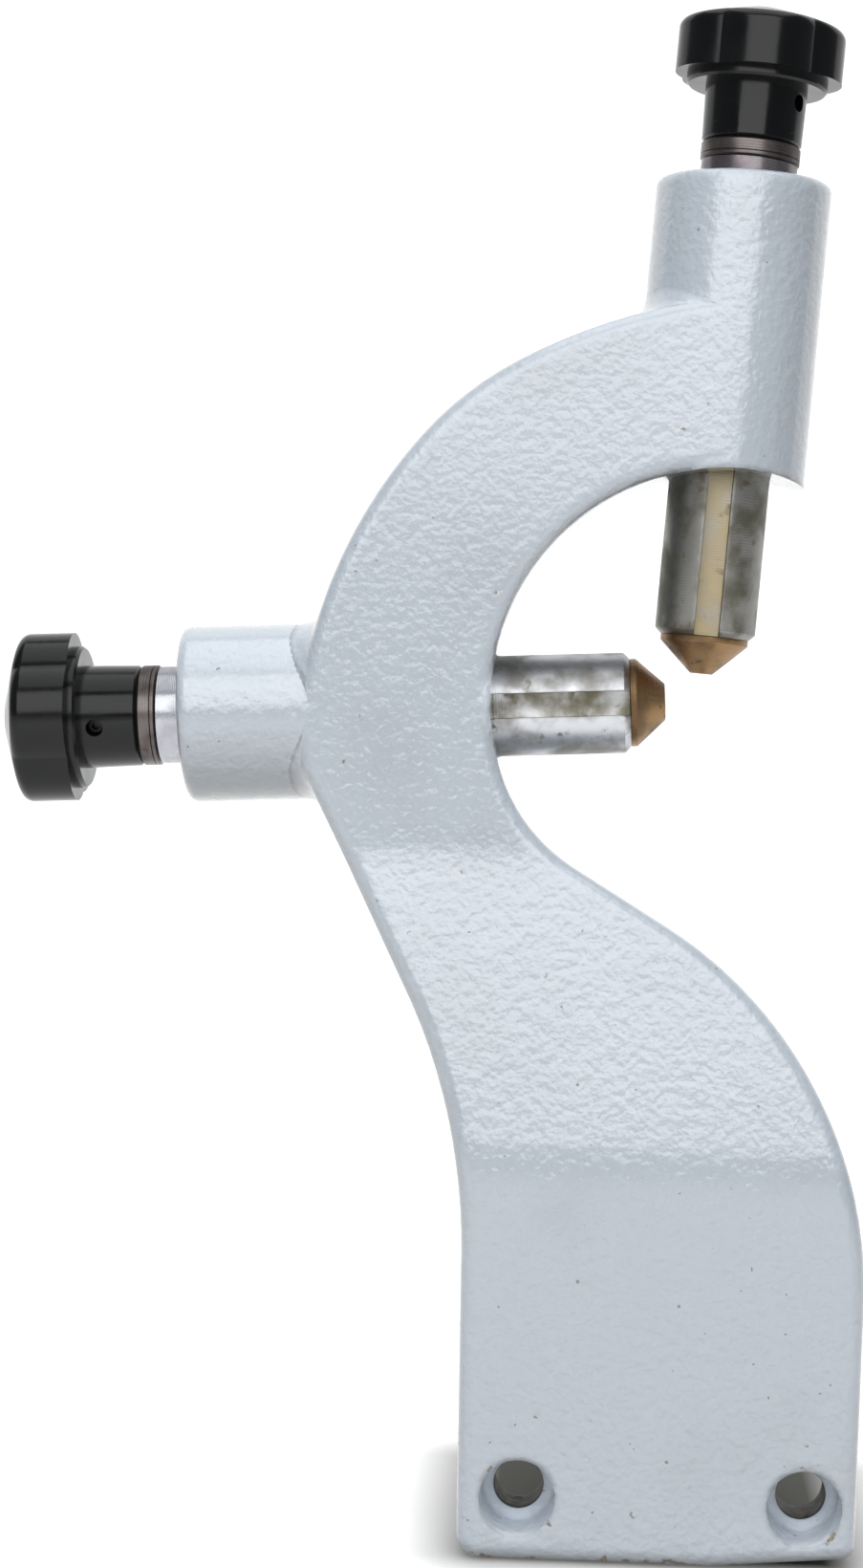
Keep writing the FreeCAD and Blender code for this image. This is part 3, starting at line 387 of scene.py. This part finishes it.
def turned_metal(name, jaw, light, dark, stain, rough, rings, ring_depth,
                 stained=(0.60, 0.74), keyway_painted_light=None):
    material, shader, place = new_material(name, rough, 1.0)
    tree = material.node_tree
    local = jaw_place(tree, place, jaw)
    split = parts_of(tree, local)
    broad, raw = patch(tree, local, 120.0, 0.40, 0.66, 6.0)
    colour = mix_colour(tree, broad, light, dark)
    spots, _ = patch(tree, local, 210.0, stained[0], stained[1], 6.0)
    colour = mix_colour(tree, spots, colour, stain)
    # painted light: the keyway floor gets a colour of its own, painted shade on the lower jaw
    # and a painted warm reflection on the top jaw
    if keyway_painted_light:
        # the bottom of the keyway lies nearer the axis than any other face of the quill
        deep = maths(tree, "LESS_THAN", distance_from_axis(tree, local), 0.0101)
        deep = maths(tree, "MULTIPLY", deep, span_of(tree, raw, 0.38, 0.62, 0.35, 1.0))
        colour = mix_colour(tree, deep, colour, keyway_painted_light)
    link(tree, colour, shader.inputs["Base Color"])
    wave = maths(tree, "SINE", maths(tree, "MULTIPLY", split[2], rings))
    _, breaks = patch(tree, local, 900.0, 0.4, 0.6, 2.0)
    height = maths(tree, "ADD", wave, maths(tree, "MULTIPLY", breaks, 1.2))
    bump(tree, shader, height, ring_depth, 0.6)
    shine = span_of(tree, raw, 0.3, 0.7, rough - 0.08, rough + 0.12)
    shine = maths(tree, "ADD", shine, maths(tree, "MULTIPLY", spots, 0.2))
    link(tree, shine, shader.inputs["Roughness"])
    link(tree, span_of(tree, spots, 0.0, 1.0, 1.0, 0.55), shader.inputs["Metallic"])
    return material


def moulded_resin(name, jaw):
    material, shader, place = new_material(name, 0.2)
    tree = material.node_tree
    local = jaw_place(tree, place, jaw)
    haze, raw = patch(tree, local, 60.0, 0.45, 0.7, 4.0)
    colour = mix_colour(tree, haze, (0.0016, 0.0020, 0.0026), (0.0038, 0.0040, 0.0046))
    specks, _ = patch(tree, local, 700.0, 0.75, 0.79, 2.0)
    colour = mix_colour(tree, specks, colour, (0.05, 0.045, 0.035))
    link(tree, colour, shader.inputs["Base Color"])
    shine = span_of(tree, raw, 0.3, 0.7, 0.12, 0.26)
    shine = maths(tree, "ADD", shine, maths(tree, "MULTIPLY", specks, 0.4))
    link(tree, shine, shader.inputs["Roughness"])
    _, grain = patch(tree, local, 900.0, 0.4, 0.6, 2.0)
    bump(tree, shader, grain, 0.00004, 0.4)
    shader.inputs["Specular IOR Level"].default_value = 0.30
    return material


# %% [markdown]
# Each part of the frame gets its finish from one list. The lower jaw sits in the light
# and the top jaw in shade, and that light and shade is painted into the colours of
# quill, keyway and bush, which differ for each jaw: the top jaw's quill and bush are
# darker and browner, and the keyway floor is painted shade on the lower jaw and a
# painted warm reflection on the top jaw. All the other parts share theirs.

# %% A finish for every part
FINISH = {"casting": painted_iron()}
# painted light and shade: the top jaw's quill and bush colours are darker copies of the lower
# jaw's
QUILL_LIT_AND_SHADED = {"rear": ((0.52, 0.53, 0.55), (0.26, 0.255, 0.24)),
         "top": ((0.24, 0.235, 0.22), (0.12, 0.115, 0.09))}
KEYWAY_SHADE_AND_REFLECTION = {"rear": (0.12, 0.11, 0.075), "top": (0.34, 0.28, 0.175)}
BUSH_LIT_AND_SHADED = {"rear": ((0.42, 0.43, 0.46), (0.33, 0.33, 0.35)),
        "top": ((0.20, 0.18, 0.19), (0.12, 0.105, 0.11))}
for jaw in JAWS:
    quill = turned_metal(jaw + "_quill_steel", jaw, *QUILL_LIT_AND_SHADED[jaw],
                         (0.13, 0.10, 0.06), 0.40, 9000.0, 0.00001, (0.60, 0.72), KEYWAY_SHADE_AND_REFLECTION[jaw])
    steel = turned_metal(jaw + "_ground", jaw, (0.42, 0.405, 0.385), (0.27, 0.255, 0.225),
                         (0.16, 0.12, 0.075), 0.30, 9000.0, 0.00001)
    bright = turned_metal(jaw + "_bright", jaw, *BUSH_LIT_AND_SHADED[jaw],
                          (0.24, 0.20, 0.18), 0.26, 14000.0, 0.00002, (0.66, 0.78))
    dark = turned_metal(jaw + "_dark", jaw, (0.13, 0.115, 0.11), (0.07, 0.06, 0.058),
                        (0.10, 0.055, 0.035), 0.34, 9000.0, 0.00002)
    black = turned_metal(jaw + "_blackened", jaw, (0.035, 0.035, 0.037), (0.02, 0.02, 0.021),
                         (0.06, 0.04, 0.03), 0.36, 9000.0, 0.00001)
    bronze = turned_metal(jaw + "_bronze", jaw, (0.27, 0.165, 0.080), (0.14, 0.088, 0.048),
                          (0.08, 0.052, 0.034), 0.40, 16000.0, 0.00003)
    resin = moulded_resin(jaw + "_resin", jaw)
    FINISH.update({
        jaw + "_quill": quill, jaw + "_key": steel, jaw + "_insert": steel,
        jaw + "_feed_screw": steel, jaw + "_end_bush": bright, jaw + "_collar": dark,
        jaw + "_key_screw": black, jaw + "_grub_screw": black, jaw + "_tip": bronze,
        jaw + "_thrust_washer": bronze, jaw + "_knob": resin,
    })
for name, material in FINISH.items():
    for slot in NODES[name].material_slots:
        slot.material = material
print("finishes:", len(set(FINISH.values())))

# %% [markdown]
# Bosses and arm were cast in one piece, and the mould left a soft hollow, about 6 mm
# across, where the side of a boss meets the outer wall of the arm. The CAD casting has a
# sharp corner there. Each hollow is a rod of sixteen-sided rings laid into that corner:
# rays cast along the jaw find how far out the wall lies, and the rings shrink to nothing
# towards the front face, where boss and arm are nearly flush, and towards the back.

# %% Hollows between boss and arm
BOSS_R = 21.85 * MM
BOSS_ACROSS = {"rear": 0.0, "top": -0.75 * MM}
FACE_OUT = 21.9 * MM
BACK_OUT = 12.0 * MM
CASTING = NODES["casting"]


def wall_height(jaw, x, y):
    # distance out along the jaw of the casting's wall, under a point beside the boss
    frame_in = jaw_matrix(jaw)
    start = frame_in @ Vector((x, y, 0.1265))
    hit, place, _, _ = CASTING.ray_cast(start, frame_in.to_3x3() @ Vector((0, 0, -1)))
    return (frame_in.inverted() @ place).z if hit else None


def hollow_section(jaw, side, turn, widest):
    out = Vector((side * math.sin(turn), -math.cos(turn), 0))
    grown = min(1.0, max(0.0, (math.degrees(turn) - 6.0) / 56.0))
    size = widest * grown * grown * (3 - 2 * grown)
    if math.cos(turn) > 1e-3:
        size = min(size, 0.9 * (FACE_OUT / math.cos(turn) - BOSS_R))
    if math.cos(turn) < -1e-3:
        size = min(size, 0.85 * (BACK_OUT / -math.cos(turn) - BOSS_R))
    if size < 0.15 * MM:
        return None
    centre = Vector((BOSS_ACROSS[jaw], 0, 0))
    near, far = (centre + out * (BOSS_R + gap) for gap in (0.1 * MM, size))
    low, end = wall_height(jaw, near.x, near.y), wall_height(jaw, far.x, far.y)
    if low is None or end is None or abs(low - end) > 2.5 * size + 3 * MM:
        return None
    skin = 0.015 * MM
    ends = (Vector((BOSS_R - skin, low + size)), Vector((BOSS_R, low)),
            Vector((BOSS_R + size, end - skin)))
    line = [(1 - t) ** 2 * ends[0] + 2 * t * (1 - t) * ends[1] + t * t * ends[2]
            for t in (i / 12 for i in range(13))]
    line += [Vector((BOSS_R + size, end - 0.8 * MM)),
             Vector((BOSS_R - 0.9 * MM, low - 0.9 * MM)),
             Vector((BOSS_R - 0.9 * MM, low + size))]
    return [jaw_matrix(jaw) @ (centre + out * point.x + Vector((0, 0, point.y)))
            for point in line]


def lay_hollow(name, jaw, side, widest):
    sections = []
    for i in range(2, 125):
        section = hollow_section(jaw, side, math.radians(i), widest)
        if section:
            sections.append(section)
    bpy.ops.object.select_all(action="DESELECT")
    bpy.ops.mesh.primitive_circle_add(vertices=16, radius=0.01, fill_type="NGON")
    rod = bpy.context.object
    rod.name = name
    bpy.ops.object.mode_set(mode="EDIT")
    for _ in sections[1:]:
        bpy.ops.mesh.extrude_region_move(TRANSFORM_OT_translate={"value": (0, 0, 0.01)})
    bpy.ops.object.mode_set(mode="OBJECT")
    for vertex in rod.data.vertices:
        corner = round(math.atan2(vertex.co.y, vertex.co.x) / (math.pi / 8)) % 16
        vertex.co = sections[round(vertex.co.z / 0.01)][corner]
    bpy.ops.object.mode_set(mode="EDIT")
    bpy.ops.mesh.select_all(action="SELECT")
    bpy.ops.mesh.normals_make_consistent(inside=False)
    bpy.ops.object.mode_set(mode="OBJECT")
    bpy.ops.object.shade_smooth_by_angle(angle=math.radians(50))
    rod.data.materials.append(FINISH["casting"])
    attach(rod, "frame")
    print(name, "rings:", len(sections))


lay_hollow("rear_hollow_upper", "rear", 1, 6.5 * MM)
lay_hollow("rear_hollow_lower", "rear", -1, 5.5 * MM)
lay_hollow("top_hollow_left", "top", -1, 6.5 * MM)

# %% [markdown]
# Between the knob and the bush sits a short steel collar with turned ends. It is drawn as
# one ring that is pulled along the axis and resized step by step, like a tool following
# a profile on a lathe, until it comes back to where it began. Its chamfers and the fine
# line cut round it are wider than the CAD collar's, and it is browned by handling.

# %% Turned collars


def turned_piece(name, jaw, profile, corners=128):
    # profile: closed list of (radius, distance along the jaw) in millimetres
    bpy.ops.object.select_all(action="DESELECT")
    radius, height = profile[0]
    bpy.ops.mesh.primitive_circle_add(
        vertices=corners, radius=radius * MM, location=(0, 0, 0), fill_type="NOTHING")
    piece = bpy.context.object
    piece.name = name
    bpy.ops.object.mode_set(mode="EDIT")
    bpy.ops.transform.translate(value=(0, 0, height * MM))
    for next_radius, next_height in profile[1:] + profile[:1]:
        bpy.ops.mesh.extrude_region_move(
            TRANSFORM_OT_translate={"value": (0, 0, (next_height - height) * MM)})
        grow = next_radius / radius
        bpy.ops.transform.resize(
            value=(grow, grow, 1), center_override=(0, 0, next_height * MM))
        radius, height = next_radius, next_height
    bpy.ops.mesh.select_all(action="SELECT")
    bpy.ops.mesh.remove_doubles(threshold=1e-6)
    bpy.ops.mesh.normals_make_consistent(inside=False)
    bpy.ops.object.mode_set(mode="OBJECT")
    piece.matrix_world = jaw_matrix(jaw)
    bpy.ops.object.transform_apply(location=True, rotation=True, scale=True)
    bpy.ops.object.shade_smooth_by_angle(angle=math.radians(25))
    return piece


for jaw in JAWS:
    collar = turned_piece(jaw + "_grooved_collar", jaw, [
        (5.02, 134.08), (11.7, 134.08), (12.4, 134.6), (12.4, 135.35), (12.2, 135.5),
        (12.4, 135.65), (12.4, 138.25), (11.75, 139.0), (5.02, 139.0)])
    collar.data.materials.append(FINISH[jaw + "_collar"])
    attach(collar, jaw + "_screw")
    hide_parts(jaw + "_collar")
    print(collar.name, "faces:", len(collar.data.polygons))

# %% [markdown]
# A small hexagon socket screw locks each knob to its shaft. The CAD screw has a plain
# round socket. Here a cylinder gets a bevelled edge and a six-sided key hole, cut with
# a Boolean modifier, and is laid in the place that the CAD screw gives.

# %% Hexagon socket screws


def along_screw(jaw):
    # the middle line of the CAD grub screw, and its two ends, in the jaw's own frame
    inward = jaw_matrix(jaw).inverted()
    points = [inward @ v.co for v in NODES[jaw + "_grub_screw"].data.vertices]
    centre = sum(points, Vector()) / len(points)
    way = Vector((centre.x, centre.y, 0)).normalized()
    reach = [point.dot(way) for point in points]
    height = (min(p.z for p in points) + max(p.z for p in points)) / 2
    return way, min(reach), max(reach), height


for jaw in JAWS:
    way, inner, outer, height = along_screw(jaw)
    long = outer - inner
    bpy.ops.object.select_all(action="DESELECT")
    bpy.ops.mesh.primitive_cylinder_add(
        vertices=6, radius=1.15 * MM, depth=4 * MM, location=(0, 0, long / 2))
    key_hole = bpy.context.object
    bpy.ops.object.select_all(action="DESELECT")
    bpy.ops.mesh.primitive_cylinder_add(
        vertices=48, radius=1.98 * MM, depth=long, location=(0, 0, 0))
    grub = bpy.context.object
    grub.name = jaw + "_socket_screw"
    bpy.ops.object.mode_set(mode="EDIT")
    bpy.ops.mesh.select_all(action="DESELECT")
    work = bmesh.from_edit_mesh(grub.data)
    for edge in work.edges:
        edge.select_set(all(v.co.z > long / 2 - 1e-6 for v in edge.verts))
    bmesh.update_edit_mesh(grub.data)
    bpy.ops.mesh.bevel(offset=0.25 * MM, segments=2)
    bpy.ops.object.mode_set(mode="OBJECT")
    cutter = grub.modifiers.new("key_hole", "BOOLEAN")
    cutter.object = key_hole
    cutter.operation = "DIFFERENCE"
    cutter.solver = "EXACT"
    bpy.ops.object.modifier_apply(modifier="key_hole")
    bpy.data.objects.remove(key_hole, do_unlink=True)
    turned = way.to_track_quat("Z", "Y").to_matrix().to_4x4()
    grub.matrix_world = jaw_matrix(jaw) @ Matrix.Translation(
        way * (inner + outer) / 2 + Vector((0, 0, height))) @ turned
    bpy.ops.object.select_all(action="DESELECT")
    grub.select_set(True)
    bpy.context.view_layer.objects.active = grub
    bpy.ops.object.transform_apply(location=True, rotation=True, scale=True)
    bpy.ops.object.shade_smooth_by_angle(angle=math.radians(30))
    grub.data.materials.append(FINISH[jaw + "_grub_screw"])
    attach(grub, jaw + "_screw")
    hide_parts(jaw + "_grub_screw")
    print(grub.name, "long", round(long / MM, 2), "mm")

# %% [markdown]
# A ground steel part has its sharp edges broken, and those thin lines catch the light.
# The CAD solids have ideal corners, so the quills and tips are copied, their triangles
# merged to flat faces, and only the corners above 30 degrees get a bevel.

# %% Broken edges on the steel parts


def broken_edges(node, name, width, body):
    copy = NODES[node].copy()
    copy.data = NODES[node].data.copy()
    copy.name = name
    bpy.context.scene.collection.objects.link(copy)
    bpy.ops.object.select_all(action="DESELECT")
    copy.select_set(True)
    bpy.context.view_layer.objects.active = copy
    bpy.ops.object.mode_set(mode="EDIT")
    bpy.ops.mesh.select_all(action="SELECT")
    bpy.ops.mesh.remove_doubles(threshold=2e-6)
    bpy.ops.mesh.dissolve_limited(angle_limit=math.radians(0.5))
    bpy.ops.mesh.select_all(action="DESELECT")
    work = bmesh.from_edit_mesh(copy.data)
    for edge in work.edges:
        edge.select_set(len(edge.link_faces) == 2
                        and edge.calc_face_angle() > math.radians(30))
    bmesh.update_edit_mesh(copy.data)
    bpy.ops.mesh.bevel(offset=width, segments=2, clamp_overlap=True)
    bpy.ops.object.mode_set(mode="OBJECT")
    bpy.ops.object.shade_smooth_by_angle(angle=math.radians(28))
    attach(copy, body)
    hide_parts(node)
    print(name, "faces:", len(copy.data.polygons))


for jaw in JAWS:
    broken_edges(jaw + "_quill", jaw + "_quill_ground", 0.25 * MM,
                 jaw + "_jaw")
    broken_edges(jaw + "_tip", jaw + "_tip_turned", 0.2 * MM, jaw + "_jaw")

# %% [markdown]
# The photograph has a plain white ground. One sheet, flat under the foot and curved up
# behind, gives floor and backdrop without a line between them. It is white to the
# camera and in reflections, and a dull grey to all other light, so that it doesn't
# brighten the part from below. Close to the foot a painted contact shadow darkens it.

# %% Floor and backdrop
FLOOR_Z = -0.0155
FLOOR_MIDDLE = (0, -2.4, FLOOR_Z)
STEPS = 12
SWEEP = 0.9
bpy.ops.object.select_all(action="DESELECT")
bpy.ops.mesh.primitive_plane_add(size=1.0, location=FLOOR_MIDDLE)
sheet = bpy.context.object
sheet.name = "white_sheet"
bpy.ops.object.mode_set(mode="EDIT")
bpy.ops.transform.resize(value=(8.0, 6.0, 1.0), center_override=FLOOR_MIDDLE)
bpy.ops.object.mode_set(mode="OBJECT")
far_y = max(v.co.y for v in sheet.data.vertices)
bpy.ops.object.mode_set(mode="EDIT")
bpy.ops.mesh.select_mode(type="EDGE")
bpy.ops.mesh.select_all(action="DESELECT")
work = bmesh.from_edit_mesh(sheet.data)
for edge in work.edges:
    edge.select_set(all(v.co.y > far_y - 1e-6 for v in edge.verts))
bmesh.update_edit_mesh(sheet.data)
for i in range(STEPS):
    low, high = (math.pi / 2 * k / STEPS for k in (i, i + 1))
    bpy.ops.mesh.extrude_region_move(TRANSFORM_OT_translate={"value": (
        0, SWEEP * (math.sin(high) - math.sin(low)), SWEEP * (math.cos(low) - math.cos(high)))})
bpy.ops.mesh.extrude_region_move(TRANSFORM_OT_translate={"value": (0, 0, 2.0)})
bpy.ops.object.mode_set(mode="OBJECT")
bpy.ops.object.transform_apply(location=True, rotation=True, scale=True)
bpy.ops.object.shade_smooth()

# %% [markdown]
# The sheet's material asks what kind of ray has met it. A few sums of the place give the
# distance from the foot, and the sheet's white and its own glow fade towards the foot:
# a painted contact shadow, not shade from the lamps.

# %% White for the camera, grey for the light
SHADOW_MIDDLE_Y = 0.025
SHADOW_HALF = 0.040
paper = bpy.data.materials.new("white_sheet")
paper.use_nodes = True
tree = paper.node_tree
tree.nodes.remove(tree.nodes["Principled BSDF"])
matt = put(tree, "BsdfDiffuse", Color=(0.22, 0.205, 0.18, 1.0))
white = tree.nodes.new("ShaderNodeBsdfDiffuse")
glow = tree.nodes.new("ShaderNodeEmission")
split = parts_of(tree, tree.nodes.new("ShaderNodeTexCoord").outputs["Object"])
beside = maths(tree, "SUBTRACT", maths(tree, "ABSOLUTE", split[0]), SHADOW_HALF)
from_middle = maths(tree, "ABSOLUTE", maths(tree, "SUBTRACT", split[1], SHADOW_MIDDLE_Y))
behind = maths(tree, "SUBTRACT", from_middle, SHADOW_HALF)
squares = []
for value in (beside, behind):
    outside = maths(tree, "MAXIMUM", value, 0.0)
    squares.append(maths(tree, "MULTIPLY", outside, outside))
away = maths(tree, "SQRT", maths(tree, "ADD", *squares))
# painted contact shadow: near the foot the glow drops to nothing and the white turns dark grey
link(tree, span_of(tree, away, 0.0, 0.03, 0.0, 0.75), glow.inputs["Strength"])
painted_shadow = mix_colour(
    tree, span_of(tree, away, 0.0, 0.025), (0.22, 0.22, 0.20), (0.95, 0.95, 0.95))
link(tree, painted_shadow, white.inputs["Color"])
both = tree.nodes.new("ShaderNodeAddShader")
choose = tree.nodes.new("ShaderNodeMixShader")
path = tree.nodes.new("ShaderNodeLightPath")
seen = maths(tree, "MAXIMUM", path.outputs["Is Camera Ray"], maths(
    tree, "MAXIMUM", path.outputs["Is Glossy Ray"], path.outputs["Is Transmission Ray"]))
link(tree, white.outputs[0], both.inputs[0])
link(tree, glow.outputs[0], both.inputs[1])
link(tree, seen, choose.inputs[0])
link(tree, matt.outputs[0], choose.inputs[1])
link(tree, both.outputs[0], choose.inputs[2])
link(tree, choose.outputs[0], tree.nodes["Material Output"].inputs["Surface"])
sheet.data.materials.append(paper)
print("sheet reaches", [round(v, 2) for v in sheet.dimensions])

# %% [markdown]
# The object was lit from above and in front by soft window light, with a bright room
# all round it. One large area lamp stands for the window, a weaker one hangs overhead
# like a ceiling, and a pale world gives the rest.

# %% Lamps and world


def soft_lamp(name, place, aim, size, power):
    lamp = bpy.data.objects.new(name, bpy.data.lights.new(name, "AREA"))
    lamp.data.shape = "RECTANGLE"
    lamp.data.size, lamp.data.size_y = size
    lamp.data.energy = power
    lamp.location = place
    lamp.rotation_euler = (Vector(aim) - Vector(place)).to_track_quat("-Z", "Y").to_euler()
    bpy.context.scene.collection.objects.link(lamp)


soft_lamp("window", (-0.08, -1.02, 0.71), (0, 0, 0.16), (1.3, 0.88), 9.0)
soft_lamp("ceiling", (0.0, -0.1, 1.40), (0, 0, 0.16), (1.2, 1.2), 6.5)
world = bpy.data.worlds.new("room")
bpy.context.scene.world = world
world.use_nodes = True
room = world.node_tree.nodes["Background"]
room.inputs["Color"].default_value = (0.93, 0.965, 1.0, 1.0)
room.inputs["Strength"].default_value = 0.27
bpy.context.scene.view_settings.view_transform = "Standard"
print("lamps:", len(bpy.data.lights))
